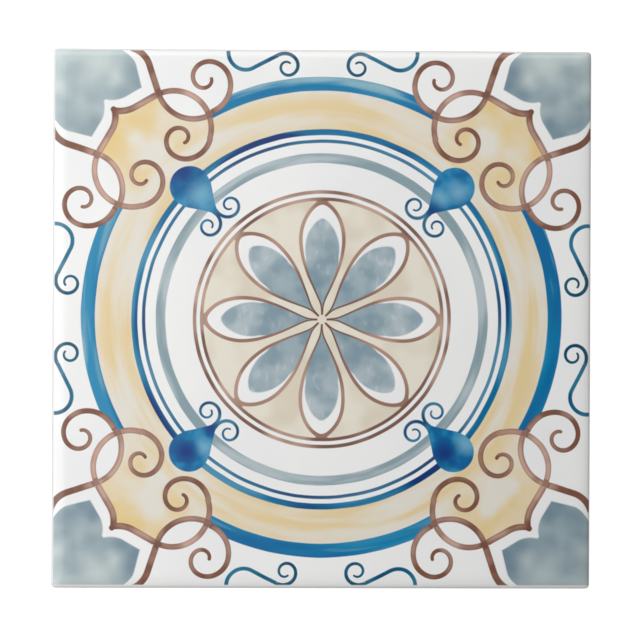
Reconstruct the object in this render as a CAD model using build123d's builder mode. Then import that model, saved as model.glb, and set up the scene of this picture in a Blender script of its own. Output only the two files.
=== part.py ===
from build123d import *
import os
from math import cos, radians, sin

# Glazed decorative wall tile, pressed and fired as one piece.
# It lies on its keyed back, with the printed face up.
# Millimetres and degrees. The origin is the middle of the back.

# Outline and sides: an upright land at the widest line, undercut towards the back
face_side = 152.4
thickness = 6.4
corner_radius = 1.2
undercut_inset = 0.5
undercut_height = 3.0

# Cushion edge, where the face rolls over into the sides
cushion_width = 4.2
cushion_drop = 1.3
cushion_sections = 13

# Keyed back: square pockets between ribs, inside a flat rim
rim_width = 9.0
rib_width = 3.0
pockets_per_side = 6
pocket_depth = 0.8
pocket_corner_radius = 2.0
pocket_draft = 25.0

cushion_base = thickness - cushion_drop
pocket_pitch = (face_side - 2 * rim_width + rib_width) / pockets_per_side
pocket_side = pocket_pitch - rib_width


def outline(inset):
    """Rounded square that lies this far inside the tile's widest line."""
    side = face_side - 2 * inset
    return RectangleRounded(side, side, corner_radius)


with BuildPart() as tile:
    # Pressed body up to the foot of the cushion edge, with the sides undercut so that grout locks in
    with BuildSketch(Plane.XY):
        outline(0)
    extrude(amount=cushion_base)
    back = tile.faces().sort_by(Axis.Z)[0]
    chamfer(back.outer_wire().edges(), length=undercut_inset, length2=undercut_height, reference=back)

    # Cushion edge: the outline follows a quarter of an ellipse from the widest line in to the flat of the face
    for section in range(cushion_sections):
        turn = radians(90 * section / (cushion_sections - 1))
        with BuildSketch(Plane.XY.offset(cushion_base + cushion_drop * sin(turn))):
            outline(cushion_width * (1 - cos(turn)))
    loft()

    # Pockets in the back that key the tile into its adhesive
    with BuildSketch(Plane.XY):
        with GridLocations(pocket_pitch, pocket_pitch, pockets_per_side, pockets_per_side):
            Rectangle(pocket_side, pocket_side)
    extrude(amount=pocket_depth, taper=pocket_draft, mode=Mode.SUBTRACT)
    fillet(tile.edges(Select.LAST).filter_by(Plane.XY, reverse=True), radius=pocket_corner_radius)

tile.part.label = "tile"
os.makedirs("parts", exist_ok=True)
export_step(tile.part, "parts/tile.step")
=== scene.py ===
import math

import bpy
import numpy as np
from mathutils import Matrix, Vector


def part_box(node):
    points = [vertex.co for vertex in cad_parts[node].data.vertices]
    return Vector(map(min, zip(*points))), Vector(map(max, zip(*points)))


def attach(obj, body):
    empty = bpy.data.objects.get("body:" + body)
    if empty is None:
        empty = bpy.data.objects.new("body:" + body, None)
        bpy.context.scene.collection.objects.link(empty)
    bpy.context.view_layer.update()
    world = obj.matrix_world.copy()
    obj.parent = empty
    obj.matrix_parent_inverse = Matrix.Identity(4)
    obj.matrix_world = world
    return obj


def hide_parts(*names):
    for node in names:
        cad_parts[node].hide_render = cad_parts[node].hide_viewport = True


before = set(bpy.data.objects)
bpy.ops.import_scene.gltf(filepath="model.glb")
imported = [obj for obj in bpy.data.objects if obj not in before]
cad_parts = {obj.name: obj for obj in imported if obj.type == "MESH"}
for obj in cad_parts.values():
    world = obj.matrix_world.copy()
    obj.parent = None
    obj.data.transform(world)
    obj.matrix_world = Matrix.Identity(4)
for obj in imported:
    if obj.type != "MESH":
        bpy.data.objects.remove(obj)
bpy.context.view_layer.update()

# Tile body: white clay pressed dry between two dies, so that its face rolls over at the edges and its back
# has pockets that key it into adhesive. White glaze covers the face and runs a little way down the sides,
# where it ends in an uneven lip on the bare biscuit. Sizes are in millimetres.
MM = 0.001
tile_low, tile_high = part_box("tile")
half_side = (tile_high.x - tile_low.x) / 2 / MM
thickness = (tile_high.z - tile_low.z) / MM
corner_radius = 1.2
cushion_width, cushion_drop = 4.2, 1.3
undercut_inset, undercut_height = 0.5, 3.0
glaze_thickness, lip_height = 0.12, 3.9
glaze_wave = 0.012
rib_width, rim_width = 3.0, 9.0
pockets_per_side, pocket_depth, pocket_corner_radius, pocket_draft = 6, 0.8, 2.0, math.radians(25)

cushion_base = thickness - cushion_drop
pocket_pitch = (2 * (half_side - rim_width) + rib_width) / pockets_per_side
pocket_half = (pocket_pitch - rib_width) / 2
wall_run = pocket_depth * math.tan(pocket_draft)
block_half = pocket_pitch * pockets_per_side / 2
back_half = half_side - undercut_inset

# Each pocket is a nest of square rings: how far each lies from the pocket's middle, and how deep it is.
# The outer ring runs along the middle of the rib to the next pocket.
ring_reach = np.array([
    0, 3.2, 6.4, pocket_half - wall_run - 0.3, pocket_half - wall_run - 0.08, pocket_half - 0.75 * wall_run,
    pocket_half - 0.25 * wall_run, pocket_half, pocket_half + 0.15, pocket_pitch / 2,
])
ring_depth = pocket_depth * np.array([1, 1, 1, 1, 0.96, 0.75, 0.25, 0.05, 0, 0])
rim_inset = np.array([0, 0.1, 0.25, 0.45, 0.75, 1.2, 2.6, 4.6, back_half - block_half])
cushion_turn = np.linspace(0, np.pi / 2, len(rim_inset))
cushion_inset = cushion_width * (1 - np.cos(cushion_turn))


def rounded(x, y, radius):
    """Rounds the corners of nested square rings. The ring max(|x|, |y|) = h has a corner of the given radius:
    a point within one radius of the ring's corner moves on to its arc, and turns there through 45 degrees
    times its share of that stretch. Other points stay where they are."""
    reach = np.maximum(abs(x), abs(y))
    beside = np.minimum(abs(x), abs(y))
    radius = np.clip(radius, 1e-9, np.maximum(reach, 1e-9))
    straight = reach - radius
    turn = np.pi / 4 * np.clip((beside - straight) / radius, 0, 1)
    ahead = straight + radius * np.cos(turn)
    beside = np.where(beside > straight, straight + radius * np.sin(turn), beside)
    wide = abs(x) >= abs(y)
    return np.copysign(np.where(wide, ahead, beside), x), np.copysign(np.where(wide, beside, ahead), y)


def mirrored(reaches):
    """Grid lines on both sides of the middle, from the distances of those on one side."""
    return np.concatenate([-reaches[::-1], reaches])


def glaze_wobble(x, y):
    """Slow hills of the fired glaze: four sine waves that cross at odd angles, together between -1 and 1."""
    waves = np.sin(0.41 * x + 0.17 * y + 0.3) + np.sin(-0.23 * x + 0.37 * y + 1.9)
    waves += np.sin(0.55 * x - 0.48 * y + 4.1) + np.sin(0.12 * x + 0.61 * y + 2.6)
    return waves / 4


def printed_face(lines):
    """Face on a square grid of lines. Its ring's inset gives the height: a quarter of an ellipse over the
    cushion edge, then flat apart from the slow hills of the glaze, which stay under the highest level."""
    x, y = np.meshgrid(lines, lines)
    reach = np.maximum(abs(x), abs(y))
    x, y = rounded(x, y, np.interp(reach, [half_side - 3 * cushion_width, half_side - cushion_width],
                                   [0, corner_radius]))
    rise = 1 - np.clip((half_side - reach) / cushion_width, 0, 1)
    flat = np.clip((half_side - cushion_width - reach) / 4, 0, 1)
    z = cushion_base + cushion_drop * np.sqrt(1 - rise ** 2)
    return x, y, z + glaze_wave * flat * (glaze_wobble(x, y) - 1)


def keyed_back(lines):
    """Back on a square grid of lines. Inside the rim each cell of the pocket pitch is rounded about its own
    middle, and its ring gives the depth. The rim is rounded about the tile's middle."""
    x, y = np.meshgrid(lines, lines)
    reach = np.maximum(abs(x), abs(y))
    last = pockets_per_side / 2 - 0.5
    cell_x = pocket_pitch * np.clip(np.floor(x / pocket_pitch) + 0.5, -last, last)
    cell_y = pocket_pitch * np.clip(np.floor(y / pocket_pitch) + 0.5, -last, last)
    ring = np.maximum(abs(x - cell_x), abs(y - cell_y))
    in_x, in_y = rounded(x - cell_x, y - cell_y, np.interp(ring, ring_reach[-2:], [pocket_corner_radius, 0]))
    rim_x, rim_y = rounded(x, y, np.interp(reach, [block_half, back_half - 1.5 * corner_radius],
                                           [0, corner_radius]))
    keyed = reach < block_half + 1e-6
    depth = np.where(keyed, np.interp(ring, ring_reach, ring_depth), 0)
    return np.where(keyed, cell_x + in_x, rim_x), np.where(keyed, cell_y + in_y, rim_y), depth


def side_rows(face_lines, back_lines):
    """Sides as rows of closed outlines from the face down to the back. A row has an inset, a height, a share
    of the lip's unevenness, and whether glaze covers it. The lip is a sum of sines that closes round the
    outline."""
    low = undercut_inset + 0.03
    rows = np.array([
        [0, cushion_base - 0.3, 0, 1],
        [0, lip_height + 0.4, 0.6, 1],
        [0, lip_height + 0.12, 1, 1],
        [0.25 * glaze_thickness, lip_height + 0.03, 1, 1],
        [0.8 * glaze_thickness, lip_height - 0.02, 1, 1],
        [glaze_thickness, lip_height - 0.1, 1, 0],
        [glaze_thickness, lip_height - 0.6, 0.5, 0],
        [glaze_thickness, undercut_height, 0, 0],
        [0.5 * (glaze_thickness + low), undercut_height / 2, 0, 0],
        [low - 0.02, 0.3, 0, 0],
        [low, 0.1, 0, 0],
    ])
    share = np.linspace(0, 1, len(rows) + 2)[1:-1, None]
    lines = (1 - share) * face_lines / half_side + share * back_lines / back_half
    one = np.ones_like(lines[:, 1:])
    x = np.concatenate([lines[:, :-1], one, lines[:, :0:-1], -one], 1)
    y = np.concatenate([-one, lines[:, :-1], one, lines[:, :0:-1]], 1)
    inset, height, uneven, glazed = rows.T[:, :, None]
    x, y = rounded(x * (half_side - inset), y * (half_side - inset), corner_radius)
    lap = np.linspace(0, 2 * np.pi, x.shape[1], endpoint=False)
    lip = 0.13 * np.sin(9 * lap + 1) + 0.1 * np.sin(17 * lap + 4)
    lip += 0.07 * np.sin(38 * lap) + 0.05 * np.sin(83 * lap)
    return x, y, height + uneven * lip, glazed + 0 * x


def outer_loop(index):
    """Outermost indices of a square grid of vertices, anticlockwise as seen from above."""
    return np.concatenate([index[0, :-1], index[:-1, -1], index[-1, :0:-1], index[:0:-1, 0]])


def quads(index):
    """Four-cornered faces between neighbouring rows and columns of vertex indices."""
    return np.stack([index[:-1, :-1], index[:-1, 1:], index[1:, 1:], index[1:, :-1]], -1).reshape(-1, 4)


flat_intervals = (len(ring_reach) - 1) * 2 * pockets_per_side
face_lines = np.concatenate([
    -half_side + cushion_inset[:-1],
    np.linspace(-1, 1, flat_intervals + 1) * (half_side - cushion_width),
    half_side - cushion_inset[-2::-1],
])
pocket_lines = mirrored(ring_reach[1:])
cell_middles = pocket_pitch * (np.arange(pockets_per_side) - (pockets_per_side - 1) / 2)
cell_lines = np.concatenate([m + np.insert(pocket_lines, len(ring_reach) - 1, 0)[:-1] for m in cell_middles])
back_lines = np.concatenate([
    -back_half + rim_inset[:-1],
    cell_lines,
    [block_half],
    back_half - rim_inset[-2::-1],
])

face = printed_face(face_lines)
back = keyed_back(back_lines)
side_x, side_y, side_z, side_glazed = side_rows(face_lines, back_lines)
face_index = np.arange(face[0].size).reshape(face[0].shape)
back_index = face_index + face_index.size
side_index = np.arange(side_x.size).reshape(side_x.shape) + 2 * face_index.size
band = np.vstack([outer_loop(face_index), side_index, outer_loop(back_index)])
band = np.hstack([band, band[:, :1]])
corners = np.concatenate([quads(face_index), quads(band)[:, ::-1], quads(back_index)[:, ::-1]])
points = np.stack([np.concatenate([f.ravel(), b.ravel(), s.ravel()])
                   for f, b, s in zip(face, back, (side_x, side_y, side_z))], 1)
points += [0, 0, tile_low.z / MM]

body = bpy.data.meshes.new("tile_body")
body.from_pydata(points * MM, [], corners)
body.shade_smooth()
glazed = np.concatenate([np.ones(face_index.size), np.zeros(back_index.size), side_glazed.ravel()])
body.attributes.new("glazed", "FLOAT", "POINT").data.foreach_set("value", glazed.astype(np.float32))

# The baked picture of the tile gives most of its width to the printed face. The back lies in a narrow strip
# to its right, and the sides, unrolled, in one above it.
face_share, strip_start, strip_share = 0.915, 0.93, 0.065
margin = 0.006


def unrolled(u, v, low, size):
    """Places the corners of a grid of quads in the picture: u and v run from 0 to 1 over the grid's area."""
    spot = np.stack([low[0] + size[0] * u, low[1] + size[1] * v], -1)
    return np.stack([spot[:-1, :-1], spot[:-1, 1:], spot[1:, 1:], spot[1:, :-1]], -2).reshape(-1, 4, 2)


face_u, face_v = np.meshgrid(face_lines, face_lines) / np.array(2 * half_side) + 0.5
back_u, back_v = np.meshgrid(back_lines, back_lines) / np.array(2 * back_half) + 0.5
band_u, band_v = np.meshgrid(np.linspace(0, 1, band.shape[1]), np.linspace(1, 0, band.shape[0]))
spots = np.concatenate([
    unrolled(face_u, face_v, (margin, margin), (face_share, face_share)),
    unrolled(band_u, band_v, (margin, strip_start), (1 - 2 * margin, strip_share))[:, ::-1],
    unrolled(back_u, back_v, (strip_start, margin), (strip_share, face_share))[:, ::-1],
])
picture = body.uv_layers.new(name="OFBake")
picture.uv.foreach_set("vector", spots.astype(np.float32).ravel())

tile = bpy.data.objects.new("glazed_tile", body)
bpy.context.scene.collection.objects.link(tile)
weighted = tile.modifiers.new("flat_faces_lead", "WEIGHTED_NORMAL")
weighted.keep_sharp = True

# Printed ornament: ceramic inks under the glaze, drawn with a brush in rings, petals, drops and curls. Every
# motif is alike in the eight parts of the face, so it is drawn once, on the face folded along its mirror
# lines, while the washes of the brush run on across the face or a quarter of it.


class Ink:
    """A number, place or colour over a surface. Expressions on numbers add Math nodes to its material."""

    def __init__(self, socket):
        self.socket = socket

    def node(self, kind, settings, inputs, output=0):
        """Adds a node of this kind: its settings come first, then the values or links of its sockets."""
        tree = self.socket.id_data
        made = tree.nodes.new("ShaderNode" + kind)
        for name, setting in settings.items():
            setattr(made, name, setting)
        for name, value in inputs.items():
            if isinstance(value, Ink):
                tree.links.new(value.socket, made.inputs[name])
            else:
                made.inputs[name].default_value = value
        return Ink(made.outputs[output])

    def math(self, operation, *others):
        """Math node on this number and the others, in that order."""
        return self.node("Math", {"operation": operation}, dict(enumerate((self, *others))))

    def vector(self, operation, *others, output=0):
        """Vector Math node on this place and the others, in that order."""
        return self.node("VectorMath", {"operation": operation}, dict(enumerate((self, *others))), output)

    def __add__(self, other):
        return self.math("ADD", other)

    def __radd__(self, other):
        return self.math("ADD", other)

    def __sub__(self, other):
        return self.math("SUBTRACT", other)

    def __rsub__(self, other):
        return self.node("Math", {"operation": "SUBTRACT"}, {0: other, 1: self})

    def __mul__(self, other):
        return self.math("MULTIPLY", other)

    def __rmul__(self, other):
        return self.math("MULTIPLY", other)

    def __truediv__(self, other):
        return self.math("DIVIDE", other)

    def __rtruediv__(self, other):
        return self.node("Math", {"operation": "DIVIDE"}, {0: other, 1: self})

    def __pow__(self, other):
        return self.math("POWER", other)

    def __rpow__(self, other):
        return self.node("Math", {"operation": "POWER"}, {0: other, 1: self})

    def __abs__(self):
        return self.math("ABSOLUTE")

    def __lt__(self, other):
        return self.math("LESS_THAN", other)

    def __gt__(self, other):
        return self.math("GREATER_THAN", other)

    def least(self, other):
        return self.math("MINIMUM", other)

    def most(self, other):
        return self.math("MAXIMUM", other)

    def away(self, spot):
        """Distance from this place to a fixed spot."""
        return self.vector("DISTANCE", (*spot, 0), output="Value")

    def along(self, direction):
        """How far this place lies along a fixed direction."""
        return self.vector("DOT_PRODUCT", (*direction, 0), output="Value")

    def rise(self, low, high):
        """Smooth step of this number: 0 at low, 1 at high, which may also be the smaller."""
        limits = {"Value": self, "From Min": low, "From Max": high}
        return self.node("MapRange", {"interpolation_type": "SMOOTHSTEP"}, limits)

    def over(self, ground, cover):
        """This colour laid over the ground's colour where cover is 1."""
        return self.node("Mix", {"data_type": "RGBA"}, {0: cover, 6: ground, 7: self}, 2)

    def stained(self, tint, share):
        """This colour with a share of a fixed sRGB tint in it."""
        return self.node("Mix", {"data_type": "RGBA"}, {0: share, 6: self, 7: linear(*tint)}, 2)


def linear(red, green, blue):
    """Linear colour of an sRGB one whose channels run from 0 to 255."""
    channels = np.array([red, green, blue]) / 255
    return (*np.where(channels < 0.04045, channels / 12.92, ((channels + 0.055) / 1.055) ** 2.4), 1)


brush_edge = 0.14
far = 100.0
print_shift, print_shrink = (-0.015, -0.1), 1.003
print_border_middle, print_border_half = (0.22, 0.22), (75.76, 75.44)
hand_shake, hand_reach = 0.3, 9.0
wheel_radius, wheel_stretch = 60.0, 8.0
seed_step = 13.7

printed_glaze = bpy.data.materials.new("printed_glaze")
printed_glaze.use_nodes = True
shader = printed_glaze.node_tree.nodes["Principled BSDF"]
start = Ink(shader.inputs["Roughness"])
place = start.node("TexCoord", {}, {}, "Object").vector("MULTIPLY", (1 / MM, 1 / MM, 1 / MM))

# A hand-held brush wanders a little, so the place on the flat print is shaken by slow noise about its own
# middle. The print is a hair smaller than the drawing whose sizes the sections below give.
flat_place = place.vector("MULTIPLY", (print_shrink, print_shrink, 0))
shake = start.node("TexNoise", {}, {"Vector": flat_place, "Scale": 1 / hand_reach, "Detail": 1.0}, "Color")
flat_place = shake.vector("MULTIPLY_ADD", (hand_shake, hand_shake, 0), flat_place)
print_middle = (print_shift[0] + hand_shake / 2, print_shift[1] + hand_shake / 2, 0)
flat_place = flat_place.vector("SUBTRACT", print_middle)
quarter = flat_place.vector("ABSOLUTE")
quarter_x = quarter.along((1, 0))
quarter_y = quarter.along((0, 1))
eighth = start.node("CombineXYZ", {}, {"X": quarter_x.least(quarter_y), "Y": quarter_x.most(quarter_y)})
middle_reach = flat_place.away((0, 0))

# On the turning wheel a brush draws its streaks out along the rings: the place's direction from the middle,
# scaled to the wheel's radius, and its distance, stretched so that washes change faster across a ring than
# along it.
wheel_rise = start.node("CombineXYZ", {}, {"Z": middle_reach * wheel_stretch})
wheel = flat_place.vector("NORMALIZE").vector("MULTIPLY_ADD", (wheel_radius, wheel_radius, 0), wheel_rise)


def inside(distance, edge=brush_edge):
    """1 where a distance to an outline is negative, 0 where it is positive, with a soft brushed edge."""
    return distance.rise(edge, -edge)


def wash(ground, size, seed, low=0.36, high=0.64, detail=1.0):
    """Blotches of a wet brush, from 0 to 1: smooth noise of the given size in millimetres, stretched so that
    its values between low and high fill the range. The seed moves it to another part of the noise."""
    spot = ground.vector("ADD", (0, 0, seed_step * seed * size))
    noise = {"Vector": spot, "Scale": 1 / size, "Detail": detail, "Roughness": 0.5}
    return start.node("TexNoise", {}, noise).rise(low, high)


def bloom(ground, spot, size):
    """A load of wet colour: 1 at a spot, falling smoothly to 0 at the given distance from it."""
    return ground.away(spot).rise(size, 0)


def blend(pale, deep, share):
    """Colour between two fixed sRGB colours."""
    return start.node("Mix", {"data_type": "RGBA"}, {0: share, 6: linear(*pale), 7: linear(*deep)}, 2)


white_glaze = (242, 242, 241)
colour = blend(white_glaze, (238, 239, 238), wash(flat_place, 30, 1))

# Rosette: eight petals in one ring, each a loop of brown line from the hub to the ring, with a grey-blue wash
# that fills it but for a white crescent at the tip. The ground between them is beige.
hub_radius = 1.3
petal_begin, petal_tip, petal_width = 3.9, 33.4, 6.08
petal_widest, petal_root, petal_end, petal_lowest = 0.633, 1.139, 0.662, 0.0001
fill_begin, fill_tip, fill_width = 13.4, 28.6, 4.74
fill_widest, fill_root, fill_end, fill_lowest = 0.524, 0.465, 0.617, 0.3
petal_part = 1.4
petal_line, petal_line_swell = 0.21, 0.3
petal_round, petal_round_start, petal_round_end = 1.09, 22, 32
brown_rings = ((34.08, 0.47), (36.08, 0.51))


def petal(length, across, begin, tip, width, widest, root, end, lowest):
    """Distance from a petal's outline, negative inside it. With t running from 0 at its beginning to 1 at
    its tip, its half width grows as t to the power root and shrinks as 1 - t to the power end, and is
    greatest at the widest t. Below the lowest t it stays even. The distance across is divided by the length
    of the outline's normal."""
    t = ((length - begin) / (tip - begin)).most(lowest).least(0.995)
    half = (t / widest) ** root * ((1 - t) / (1 - widest)) ** end * width
    slope = half * (root / t - end / (1 - t)) / (tip - begin)
    return (across - half) / (slope * slope + 1).math("SQRT")


spread = eighth.along((1, 0)).math("ARCTAN2", eighth.along((0, 1))).math("PINGPONG", math.pi / 8)
petal_along = middle_reach * spread.math("COSINE")
petal_across = middle_reach * spread.math("SINE")
rounding = petal_along.rise(petal_round_start, petal_round_end) * petal_round
rounded_across = (petal_across * petal_across + rounding * rounding).math("SQRT")

# The two sides of a petal part gently from the one line at its root: the length beyond its beginning is half
# the sum of itself and the root of its square plus a small square.
beyond = petal_along - petal_begin
parted_along = petal_begin + (beyond + (beyond * beyond + petal_part ** 2).math("SQRT")) * 0.5
petal_offset = petal(
    parted_along, rounded_across, petal_begin, petal_tip, petal_width,
    petal_widest, petal_root, petal_end, petal_lowest,
)
fill_offset = petal(
    petal_along, petal_across, fill_begin, fill_tip, fill_width,
    fill_widest, fill_root, fill_end, fill_lowest,
)
in_rosette = inside(middle_reach - brown_rings[0][0])
in_petal = inside(petal_offset.most(petal_begin - petal_along))
beige = blend((232, 226, 212), (221, 211, 193), wash(flat_place, 10, 2))
colour = beige.over(colour, in_rosette * (1 - in_petal))
upright_place = flat_place.vector("MULTIPLY", (1, 0.5, 1))
root_share = petal_along.rise(26, 8)
petal_share = wash(flat_place, 6, 3, 0.3, 0.7, 1.5) - 0.5 - wash(upright_place, 1.5, 21, 0.58, 0.76) * 0.5
petal_share = petal_share * (0.58 - root_share * 0.2) + root_share * 0.36 + 0.43
petal_blue = blend((190, 201, 205), (127, 151, 163), petal_share)
colour = petal_blue.over(colour, in_petal * inside(fill_offset.most(petal_along - fill_tip), 0.28))
petal_half_line = petal_line + petal_along.rise(4, 22) * petal_line_swell
petal_cover = inside(abs(petal_offset) - petal_half_line) * inside(hub_radius - petal_along) * in_rosette
rosette_brown = blend((196, 166, 150), (130, 99, 88), wash(flat_place, 12, 4, 0.36, 0.62))
petal_brown = rosette_brown.stained((174, 139, 122), 0.5)
petal_brown = petal_brown.stained((106, 74, 64), petal_along.rise(18, 5) * 0.8)
colour = petal_brown.over(colour, petal_cover)


def ring(radius, half):
    """Cover of a ring: 1 where the distance from the middle is within a half width of its radius."""
    return inside(abs(middle_reach - radius) - half)


for radius, half in brown_rings:
    colour = rosette_brown.over(colour, ring(radius, half))

# Rings: lines of grey-blue and blue brushed round the middle on a turning wheel, on bare white glaze.
grey_ring, thin_blue_ring, blue_ring = (45.73, 1.38), (50.52, 0.48), (53.1, 0.86)

grey_blue = blend((184, 196, 200), (142, 163, 170), wash(wheel, 30, 5, 0.34, 0.6, 2.0))
colour = grey_blue.over(colour, ring(*grey_ring))

# Cream band and wide blue ring: a yellow wash between the rings that opens into each corner's medallion, and
# a wide blue ring round it that ends at the corner curls. Its middle lies a little higher than the others'.
wide_ring_middle, wide_ring_radius, wide_ring_half = (-0.06, 0.62), 66.18, 2.0
ring_end_slope = math.tan(math.radians(29.5))
medallion_middle, medallion_radius = (46.05, 46.05), 18.56
lens_low_middle, lens_low_radius = (36.53, 67.18), 10.58
cusp_middle, cusp_radius = (57.43, 67.31), 8.61
shoulder_left, shoulder_right = (47.31, 63.19), (53.13, 59.86)
outer_curl_middle, inner_curl_middle = (33.31, 67.89), (40.11, 51.14)
curl_shield_middle, curl_shield_radius = (33.16, 65.74), 6.94
pale_cream_loads = (
    (-47.0, 47.5, 6.0), (-52.5, 50.5, 4.0), (46.0, 50.5, 6.0), (-48.0, -52.0, 6.5), (-46.0, -45.5, 4.0),
    (47.5, -53.5, 4.0), (50.6, -50.4, 4.8), (53.5, -47.5, 4.0),
)


def unit(first, last):
    """Direction from one point to another, its left-hand normal, and the length between them."""
    step = np.subtract(last, first)
    length = np.hypot(*step)
    return step / length, np.array([-step[1], step[0]]) / length, length


wide_reach = flat_place.away(wide_ring_middle)
band_distance = (wide_reach - wide_ring_radius + wide_ring_half - 0.5).most(blue_ring[0] - middle_reach)
shoulder_up = unit(shoulder_left, shoulder_right)[1]
diagonal = math.sqrt(0.5)
diagonal_along = eighth.along((diagonal, diagonal))
medallion = eighth.away(medallion_middle) - medallion_radius
medallion = medallion.most(lens_low_radius - eighth.away(lens_low_middle))
medallion = medallion.most(cusp_radius - eighth.away(cusp_middle))
shoulder = eighth.along(shoulder_up) - float(np.dot(shoulder_left, shoulder_up))
medallion = medallion.most(shoulder.least(shoulder_right[0] - eighth.along((1, 0))))
medallion = medallion.most(blue_ring[0] - middle_reach)
band_yellow = wash(wheel, 34, 6, 0.36, 0.66, 2.5) * 0.78
corner_yellow = diagonal_along.rise(65, 78) * 0.7 + bloom(eighth, inner_curl_middle, 8) * 0.6
corner_yellow = corner_yellow + (wash(flat_place, 9, 7, 0.3, 0.7, 2.0) - 0.4) * 0.5
for x, y, size in pale_cream_loads:
    corner_yellow = corner_yellow - bloom(flat_place, (x, y), size) * 0.7
yellow = band_yellow + (corner_yellow - band_yellow) * middle_reach.rise(60, 67)
cream = blend((229, 224, 213), (229, 202, 142), yellow.most(0).least(1))
colour = cream.over(colour, inside(band_distance.least(medallion)))
ring_end = eighth.along((1, 0)) - eighth.along((0, 1)) * ring_end_slope
ring_end = ring_end.most(curl_shield_radius - eighth.away(curl_shield_middle))
wide_blue = blend((62, 142, 182), (16, 113, 163), wash(wheel, 40, 8, 0.38, 0.64))
outer_side = wide_reach.rise(wide_ring_radius - 3, wide_ring_radius + 1.5)
wide_blue = wide_blue.stained((150, 186, 197), wash(wheel, 26, 9, 0.48, 0.7, 2.0) * outer_side)
colour = wide_blue.over(colour, inside((abs(wide_reach - wide_ring_radius) - wide_ring_half).most(ring_end)))
line_blue = blend((86, 149, 181), (46, 116, 158), wash(wheel, 26, 10, 0.36, 0.6))
line_blue = line_blue.stained((32, 72, 124), wash(wheel, 34, 11, 0.48, 0.64))
colour = line_blue.over(colour, ring(*blue_ring))
colour = line_blue.stained((104, 126, 138), 0.25).over(colour, ring(*thin_blue_ring))

# Drops: a blue bulb on each diagonal, whose sides draw in to a neck towards the middle and part into two
# curls. Each is painted with its own loads of navy and of pale blue.
bulb_middle, bulb_radius = (37.54, 37.54), 5.72
neck_end, neck_waist, neck_top, neck_half, neck_slope = 41.1, 42.6, 49.9, 0.8, 0.68
drop_curl_middle, drop_curl_half, drop_curl_tip_half, drop_curl_mean_half = (26.36, 32.27), 0.52, 0.26, 0.4
navy_loads = (
    (-39.5, 41.8, 8.5), (-38.3, -37.6, 5.0), (35.0, -38.0, 6.0), (31.0, 30.4, 5.5), (-31.5, -30.5, 4.0),
)
pale_loads = (
    (-34.5, 35.6, 7.0), (38.6, 36.2, 5.0), (33.4, 34.4, 4.0), (-33.2, -36.4, 4.0), (41.0, -35.2, 5.0),
)


def arc(ground, middle, radius, first, last, half):
    """Distance from an arc's line in half widths of its stroke. The arc runs from the first angle to the
    last, in degrees anticlockwise, and everything outside that sector counts as far away."""
    centre, spread = math.radians((first + last) / 2), math.radians((last - first) / 2)
    towards = (math.cos(centre), math.sin(centre))
    reach = ground.away(middle)
    ahead = ground.along(towards) - float(np.dot(middle, towards))
    return abs(reach - radius) / half + (ahead < reach * math.cos(spread)) * far


def straight(ground, first, last, half):
    """Distance from a straight line between two points in half widths of its stroke. Past its ends
    everything counts as far away."""
    along, normal, length = unit(first, last)
    offset = abs(ground.along(normal) - float(np.dot(first, normal))) / half
    past = abs(ground.along(along) - float(np.dot(first, along)) - length / 2) > length / 2
    return offset + past * far


def curl(ground, middle, radius, start_angle, growth, sweep, hand, half, tip_half):
    """Distance from a curl's line in half widths of its stroke. The line is a logarithmic spiral: its radius
    falls by e to the power of growth for each radian wound from its start. A place is given to the turn
    nearest to it, and the stroke thins evenly to a round tip."""
    first, sweep = math.radians(start_angle), math.radians(sweep)
    reach = ground.away(middle)
    step = ground.vector("SUBTRACT", (*middle, 0))
    lap = (step.along((0, 1)).math("ARCTAN2", step.along((1, 0))) - first) * hand
    wound = (reach / radius).math("LOGARITHM", math.exp(-growth))
    wound = lap + ((wound - lap) / (2 * math.pi)).math("ROUND") * (2 * math.pi)
    width = half + wound * ((tip_half - half) / sweep)
    offset = abs(reach - math.exp(-growth) ** wound * radius) * math.cos(math.atan(growth)) / width
    past = abs(wound - sweep / 2) > sweep / 2
    tip_reach, tip_angle = radius * math.exp(-growth * sweep), first + hand * sweep
    tip = (middle[0] + tip_reach * math.cos(tip_angle), middle[1] + tip_reach * math.sin(tip_angle))
    return (offset + past * far).least(ground.away(tip) / tip_half)


def stroke(distance, half):
    """Cover of a brush stroke from its distance in half widths."""
    return inside(distance - 1, brush_edge / half)


neck_run = (diagonal_along - neck_waist).most(0) * neck_slope
neck = eighth.along((-diagonal, diagonal)) - (neck_run * neck_run + neck_half ** 2).math("SQRT")
neck = neck.most(neck_end - diagonal_along).most(diagonal_along - neck_top)
drop = (eighth.away(bulb_middle) - bulb_radius).least(neck)
drop_curl = curl(
    eighth, drop_curl_middle, radius=4.11, start_angle=-20.3, growth=0.164, sweep=455, hand=-1,
    half=drop_curl_half, tip_half=drop_curl_tip_half,
)
drop_blue = blend((66, 142, 184), (28, 106, 158), wash(flat_place, 5, 12, detail=2.0))
for x, y, size in pale_loads:
    drop_blue = drop_blue.stained((120, 174, 200), bloom(flat_place, (x, y), size) * 0.9)
for x, y, size in navy_loads:
    drop_blue = drop_blue.stained((27, 70, 130), bloom(flat_place, (x, y), size) * 0.95)
curl_blue = blend((78, 132, 160), (50, 90, 128), wash(flat_place, 6, 13))
drop_blue = curl_blue.over(drop_blue, diagonal_along.rise(45, 41))
colour = drop_blue.over(colour, inside(drop).most(stroke(drop_curl, drop_curl_mean_half)))

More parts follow.
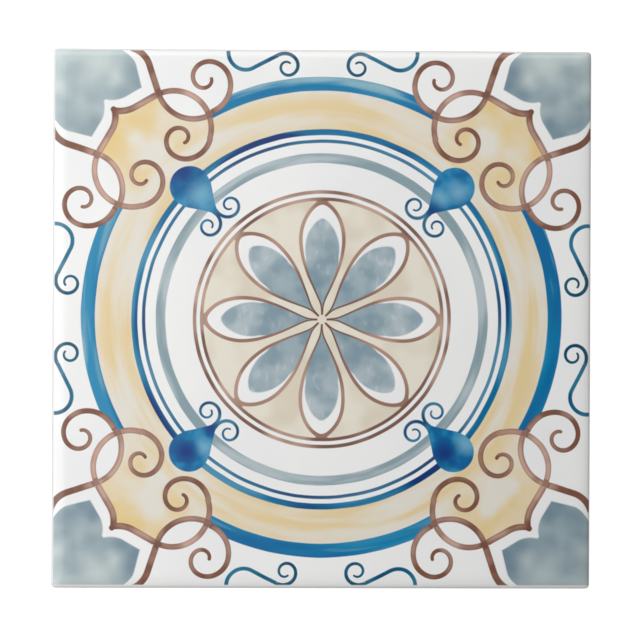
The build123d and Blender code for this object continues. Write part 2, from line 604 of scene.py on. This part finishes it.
# Corner medallions: a grey-blue quarter wash in each corner inside a white border, and two brown strokes that
# cross at its shoulder. One comes in from the edge, and both run round a white lens and end in a curl.
notch_middle, notch_radius, notch_side = (59.6, 69.55), 7.8, 31
notch_end, notch_end_half = 87.3, 1.5
foot_tip, foot_lean, foot_bend_start, foot_bend = (51.38, 65.62), 0.25, 71.7, 0.15
edge_bend_middle, edge_bend_radius = (56.38, 69.38), 7.6
edge_bend_foot, edge_line_foot = (49.16, 71.75), (46.7, 64.26)
lens_high_middle, lens_high_radius = (42.08, 54.08), 10.47
ogee_half, lens_half, curl_half, curl_tip_half = 0.92, 0.8, 0.8, 0.5
cusp_ball, cusp_ball_radius, cusp_reach = (59.15, 59.15), 0.85, 84.5

# Loads of paler and deeper grey-blue in the corners, and of pale pink and dark brown along the strokes: where
# each lies, its size, and how much of it there is. The paler ones at the tile's corner and along its edges
# are in part a painted highlight of the rolled edge.
pale_corner_blue, deep_corner_blue, dark_brown = (208, 217, 214), (110, 134, 149), (116, 80, 68)
pale_corner_loads_and_highlights = (
    (58.5, 68.6, 5, 0.7), (63.5, 73.5, 8, 0.8), (75, 65.5, 6, 0.5), (75.5, 75.5, 8, 0.75),
    (67.5, 59.5, 4, 0.3), (70.3, 68.5, 4.5, 0.25),
)
deep_corner_loads = (
    (52.6, 66.8, 5, 0.7), (53.6, 70.4, 5.5, 0.75), (64.2, 56, 5, 0.55), (67.6, 53, 5, 0.6),
    (71, 57.5, 6, 0.45), (64.5, 63.5, 5, 0.4), (62, 67.3, 4, 0.25), (56.3, 64.5, 4, 0.4),
)
pink_loads = (
    (60.5, 39, 14, 0.75), (37.3, 63.4, 9, 0.55), (50.2, 61.5, 5, 0.6), (61.5, 50.2, 5, 0.5),
    (59.3, 55, 5, 0.6),
)
dark_loads = ((59.2, 59.2, 4, 0.5), (40.1, 51.1, 5, 0.4), (50, 72, 9, 0.4), (33.3, 67.9, 7.5, 0.55))


def corner_border(across, up):
    """Distance from the edge of the corner's wash, negative inside it. Towards the tile's middle the edge is
    a straight side that runs into an arc, which rises again to a point on the diagonal. On the other side it
    leans away from the tip, straight at first and then bending as a parabola."""
    side = math.radians(notch_side)
    over = (across - notch_middle[0]).most(-notch_radius * math.sin(side)).least(0.8 * notch_radius)
    beyond = (notch_middle[0] - notch_radius * math.sin(side) - across).most(0) * math.tan(side)
    low_edge = notch_middle[1] - (notch_radius ** 2 - over * over).math("SQRT") + beyond
    bend = (up - foot_bend_start).most(0)
    left_edge = foot_tip[0] + (up - foot_tip[1]) * foot_lean + bend * bend * foot_bend
    return ((low_edge - up) * math.cos(side)).most(left_edge - across)


# The white border's point on the diagonal ends bluntly. The wash is made palest in the top left corner and
# deepest
# in the bottom right one: painted light and shade that follow the lamps at the top left.
corner_fill = corner_border(eighth.along((1, 0)), eighth.along((0, 1)))
blunt_notch = (notch_end - diagonal_along).most(eighth.along((-diagonal, diagonal)) - notch_end_half)
corner_fill = corner_fill.least(blunt_notch)
corner_blotch = wash(quarter, 7.5, 14, 0.3, 0.7, 1.2)
corner_blue = blend((180, 194, 197), (144, 163, 171), corner_blotch)
# Paler loads: brush loads, and near the tile's corner and edges a painted highlight of the rolled edge.
for x, y, size, share in pale_corner_loads_and_highlights:
    corner_blue = corner_blue.stained(pale_corner_blue, bloom(quarter, (x, y), size) * share)
for x, y, size, share in deep_corner_loads:
    corner_blue = corner_blue.stained(deep_corner_blue, bloom(quarter, (x, y), size) * share)
# Painted light and shade across the tile: paler towards the top left, deeper towards the bottom right.
down_right = flat_place.along((diagonal, -diagonal))
corner_blue = corner_blue.stained(pale_corner_blue, down_right.rise(-40, -100) * 0.2)
corner_blue = corner_blue.stained(deep_corner_blue, down_right.rise(-20, 100) * 0.25)
colour = corner_blue.over(colour, inside(corner_fill, 0.25))

outer_strand = arc(eighth, edge_bend_middle, edge_bend_radius, 105, 162, ogee_half)
outer_strand = outer_strand.least(straight(eighth, edge_bend_foot, edge_line_foot, ogee_half))
outer_strand = outer_strand.least(arc(eighth, lens_low_middle, lens_low_radius, -118, -14, lens_half))
outer_strand = outer_strand.least(curl(
    eighth, outer_curl_middle, radius=9.58, start_angle=-99.6, growth=0.223, sweep=443, hand=-1,
    half=curl_half, tip_half=curl_tip_half,
))
inner_strand = arc(eighth, cusp_middle, cusp_radius, -120, -70, ogee_half)
inner_strand = inner_strand.least(straight(eighth, shoulder_left, shoulder_right, ogee_half))
inner_strand = inner_strand.least(arc(eighth, lens_high_middle, lens_high_radius, 60, 198, lens_half))
inner_strand = inner_strand.least(curl(
    eighth, inner_curl_middle, radius=8.23, start_angle=180, growth=0.225, sweep=412, hand=1,
    half=curl_half, tip_half=curl_tip_half,
))
inner_strand = inner_strand.most((diagonal_along - cusp_reach) / ogee_half + 1)
inner_strand = inner_strand.least(eighth.away(cusp_ball) / cusp_ball_radius)
outer_cover = stroke(outer_strand, lens_half)
inner_cover = stroke(inner_strand, lens_half)
pinkness = wash(quarter, 6, 15, 0.3, 0.7) * 0.55
for x, y, size, share in pink_loads:
    pinkness = pinkness + bloom(quarter, (x, y), size) * share
for x, y, size, share in dark_loads:
    pinkness = pinkness - bloom(eighth, (x, y), size) * share
brown = blend((133, 95, 80), (203, 169, 154), pinkness.most(0).least(1))

# The ink is darker along a stroke's sides, where two strokes cross, and on the side of a medallion's outline
# that faces the corner.
stroke_side = outer_strand.least(inner_strand).rise(0.35, 1.1) * 0.5
corner_side = medallion.rise(-0.2, 0.9) * medallion.rise(1.6, 1.1) * 0.6
dark_share = stroke_side.most(outer_cover * inner_cover * 0.5).most(corner_side)
brown = brown.stained(dark_brown, dark_share)
colour = brown.over(colour, outer_cover.most(inner_cover))

# Edge scrolls: half of a blue S-scroll on each side of every edge's middle. The next tile carries the other
# half.
scroll_dip_middle, scroll_dip_radius = (21.95, 75.53), 4.87
scroll_dip_end, scroll_curl_start = (19.67, 71.23), (12.58, 74.83)
scroll_curl_middle = (10.11, 71.51)
scroll_half, scroll_tip_half = 0.56, 0.3

scroll = arc(eighth, scroll_dip_middle, scroll_dip_radius, -118, 30, scroll_half)
scroll = scroll.least(straight(eighth, scroll_dip_end, scroll_curl_start, scroll_half))
scroll = scroll.least(curl(
    eighth, scroll_curl_middle, radius=4.145, start_angle=53.4, growth=0.155, sweep=430, hand=1,
    half=scroll_half, tip_half=scroll_tip_half,
))
scroll_blue = blend((60, 126, 154), (40, 94, 126), wash(flat_place, 9, 16))
scroll_blue = scroll_blue.stained((48, 80, 102), eighth.along((1, 0)).rise(16, 10) * 0.55)
colour = scroll_blue.over(colour, stroke(scroll, scroll_half))

# Finish of the skin: the print ends on the cushion edge, just short of the sides, the glaze is glossy with a
# faint dimple, and below the lip the bare biscuit is matt and grainy.
glaze_roughness, biscuit_roughness = 0.12, 0.86
grain_depth, dimple_depth = 0.06, 0.01

border_place = place.vector("SUBTRACT", (*print_border_middle, 0)).vector("ABSOLUTE")
border_place = border_place.vector("SUBTRACT", (*print_border_half, 0))
border = border_place.along((1, 0)).most(border_place.along((0, 1)))
colour = colour.over(blend(white_glaze, white_glaze, 0.0), inside(border, 0.2))

# Near the edge the colour is darkened: partly the glaze running thinner over the edge, partly painted shade
# on the rolled edge.
rim_darkening_start, rim_darkening_end, rim_darkening_loss = 0.9, 0.1, 0.2
edge_place = place.vector("ABSOLUTE")
edge_reach = edge_place.along((1, 0)).most(edge_place.along((0, 1)))
rim_shade_and_thin_glaze = edge_reach.rise(half_side - rim_darkening_start, half_side - rim_darkening_end)
colour = colour.vector("MULTIPLY", 1 - rim_shade_and_thin_glaze * rim_darkening_loss)

# The inks above are written as they look through the faint sheen on the glaze, so its mean is taken off their
# colour.
sheen_gain, sheen_mean, darkest_ink = 1.034, 0.029, 0.003
colour = colour.vector("MULTIPLY_ADD", (sheen_gain,) * 3, (-sheen_mean,) * 3)
colour = colour.vector("MAXIMUM", (darkest_ink,) * 3)
has_glaze = start.node("Attribute", {"attribute_name": "glazed"}, {}, "Fac").rise(0.3, 0.7)
biscuit = blend((228, 218, 201), (216, 204, 185), wash(place, 6, 17, detail=3.0))
biscuit = biscuit.stained((186, 169, 146), wash(place, 0.7, 18, 0.62, 0.72) * 0.4)
colour = colour.over(biscuit, has_glaze)
smoother = biscuit_roughness - glaze_roughness - wash(flat_place, 22, 19) * 0.04
roughness = biscuit_roughness - has_glaze * smoother
grain = start.node("TexNoise", {}, {"Vector": place, "Scale": 2.2, "Detail": 4.0})
dimple = start.node("TexNoise", {}, {"Vector": place, "Scale": 0.35, "Detail": 1.0})
relief = grain * (1 - has_glaze) * grain_depth + dimple * has_glaze * dimple_depth
bump = start.node("Bump", {}, {"Height": relief, "Strength": 1.0, "Distance": MM})

links = printed_glaze.node_tree.links
links.new(colour.socket, shader.inputs["Base Color"])
links.new(roughness.socket, shader.inputs["Roughness"])
links.new(bump.socket, shader.inputs["Normal"])
body.materials.append(printed_glaze)

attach(tile, "root")
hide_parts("tile")

# Floor: a wide white sheet under the tile. To the camera and in reflections it is bright enough to stay
# white, and the tile's shadow still shows on it faintly.
floor_half, floor_glow = 3.0, 0.74
floor_mesh = bpy.data.meshes.new("floor")
floor_corners = floor_half * np.array([[-1, -1, 0], [1, -1, 0], [1, 1, 0], [-1, 1, 0]])
floor_mesh.from_pydata(floor_corners, [], [[0, 1, 2, 3]])
floor = bpy.data.objects.new("floor", floor_mesh)
bpy.context.scene.collection.objects.link(floor)
floor_white = bpy.data.materials.new("floor_white")
floor_white.use_nodes = True
floor_tree = floor_white.node_tree
floor_shader = floor_tree.nodes["Principled BSDF"]
floor_shader.inputs["Base Color"].default_value = linear(226, 226, 226)
floor_shader.inputs["Roughness"].default_value = 0.9


def seen(ground):
    """1 for rays from the camera, from a gloss or through glass, and 0 for those that light the object."""
    kinds = ("Camera", "Glossy", "Transmission")
    rays = [ground.node("LightPath", {}, {}, "Is %s Ray" % kind) for kind in kinds]
    return rays[0].most(rays[1]).most(rays[2])


floor_start = Ink(floor_shader.inputs["Roughness"])
glow = floor_start.node("Emission", {}, {"Strength": seen(floor_start) * floor_glow})
lit = floor_start.node("AddShader", {}, {0: Ink(floor_shader.outputs["BSDF"]), 1: glow})
floor_tree.links.new(lit.socket, floor_tree.nodes["Material Output"].inputs["Surface"])
floor_mesh.materials.append(floor_white)

# Light: a wide soft lamp to the left and a smaller one to the top, both outside what the flat face mirrors
# into the camera, so that only the left and top cushion edges shine. The surround is pale grey, brighter to
# the top, with white walls low down. Overhead it is dark but for a patch whose sheen lies on the face's left.
dome_level, dome_side = 0.5, (-0.26, 0.69)
sheen_level, sheen_side = 1.05, (-0.9, 0.44)

world = bpy.data.worlds.new("surround")
bpy.context.scene.world = world
world.use_nodes = True
surround = world.node_tree.nodes["Background"]
world_start = Ink(surround.inputs["Strength"])
direction = world_start.node("TexCoord", {}, {}, "Generated")
up = world_start.node("SeparateXYZ", {}, {"Vector": direction}, "Z")
dome = up.rise(0.985, 0.9) * up.rise(0.15, 0.5) * (1 + direction.along(dome_side)) * dome_level
sheen = direction.along(sheen_side).rise(-0.14, 0.12) * up.rise(0.94, 0.985) * sheen_level
ambient = dome + sheen
walls = up.rise(0.3, 0.1).most(ambient)
strength = ambient + (walls - ambient) * seen(world_start)
world.node_tree.links.new(strength.socket, surround.inputs["Strength"])
surround.inputs["Color"].default_value = (1, 1, 1, 1)

lamp_height = 0.4
for name, middle, size, energy in (
    ("left_lamp", (-0.4, 0.1), (0.5, 0.9), 2.8),
    ("top_lamp", (0.01, 0.4), (0.5, 0.24), 0.7),
):
    lamp_data = bpy.data.lights.new(name, "AREA")
    lamp_data.shape = "RECTANGLE"
    lamp_data.size, lamp_data.size_y = size
    lamp_data.energy = energy
    lamp = bpy.data.objects.new(name, lamp_data)
    lamp.location = (*middle, tile_high.z + lamp_height)
    bpy.context.scene.collection.objects.link(lamp)

# Camera: above the face through a long lens, standing a little to the left, so that the tile's left side
# looks a hair longer than its right one, and turned by a quarter of a degree. The image is a square of 644
# pixels, the tile's face is 539.3 of them wide, and its middle lies a little above the image's middle.
image_side, tile_pixels = 644, 539.3
middle_right, middle_up = 0.0, 3.25
camera_lean, camera_turn = math.radians(1.55), math.radians(0.25)
camera_data = bpy.data.cameras.new("camera")
camera_data.lens, camera_data.sensor_width = 148, 36
view_width = 2 * half_side * MM * image_side / tile_pixels
pixel = view_width / image_side
camera = bpy.data.objects.new("camera", camera_data)
camera_reach = view_width * camera_data.lens / camera_data.sensor_width
camera.location = (
    -middle_right * pixel - camera_reach * math.sin(camera_lean),
    -middle_up * pixel,
    tile_high.z + camera_reach * math.cos(camera_lean),
)
camera.rotation_euler = (0, -camera_lean, camera_turn)
camera_data.clip_end = 50
bpy.context.scene.collection.objects.link(camera)
bpy.context.scene.camera = camera
bpy.context.scene.view_settings.view_transform = "Standard"
